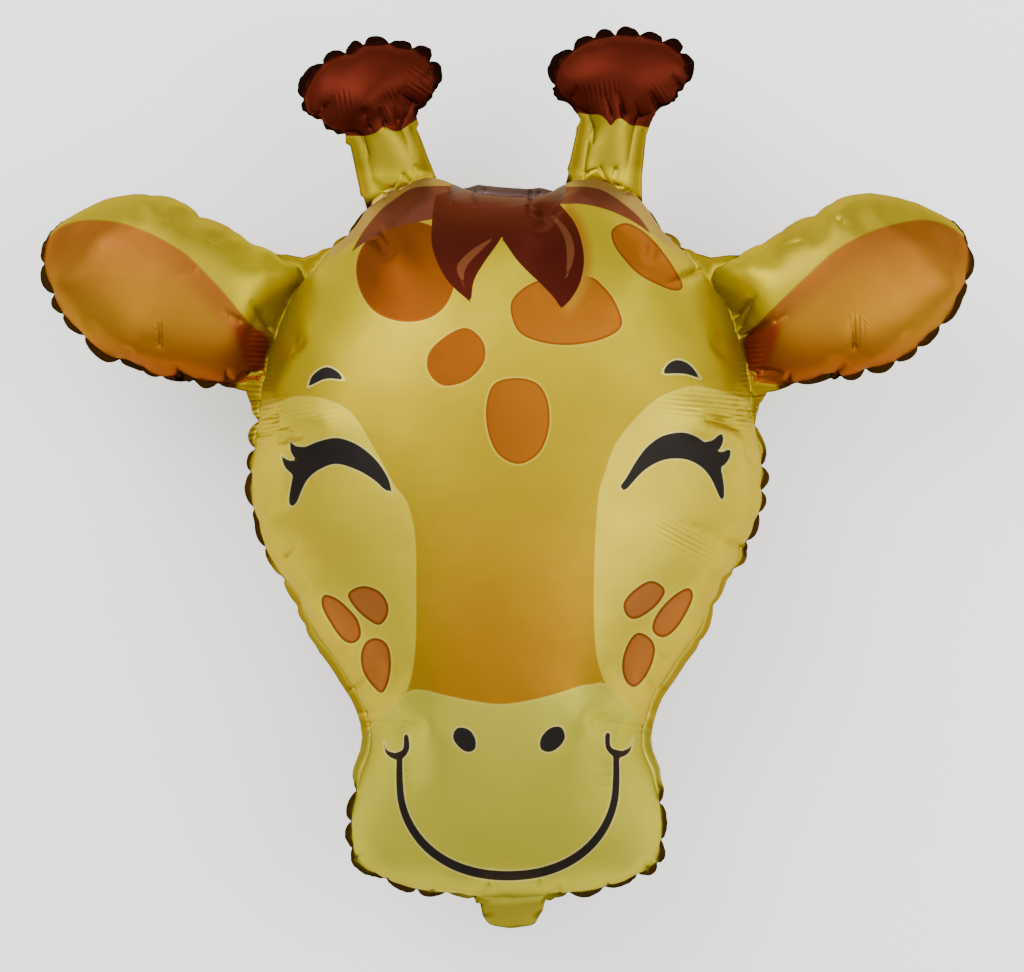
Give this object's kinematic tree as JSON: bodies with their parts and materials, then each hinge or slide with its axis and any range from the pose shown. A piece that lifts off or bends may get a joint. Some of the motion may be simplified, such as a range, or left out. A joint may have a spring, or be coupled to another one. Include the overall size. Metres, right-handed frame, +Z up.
{
  "type": "giraffe foil balloon",
  "caption": "Air-filled printed foil balloon in the shape of a smiling giraffe's head, with ears, horns and a welded seam, lying on its back.",
  "frame": {"origin": "centre of the footprint, at the height of the flat spot on the back that the balloon rests on", "axes": "+Z up out of the face, +Y towards the horns, +X to the right of the picture"},
  "size_m": [0.7464, 0.7166, 0.2626],
  "materials": {
    "printed_foil": "satin"
  },
  "bodies": {
    "root": {"foil_balloon": "printed_foil"}
  },
  "joints": []
}
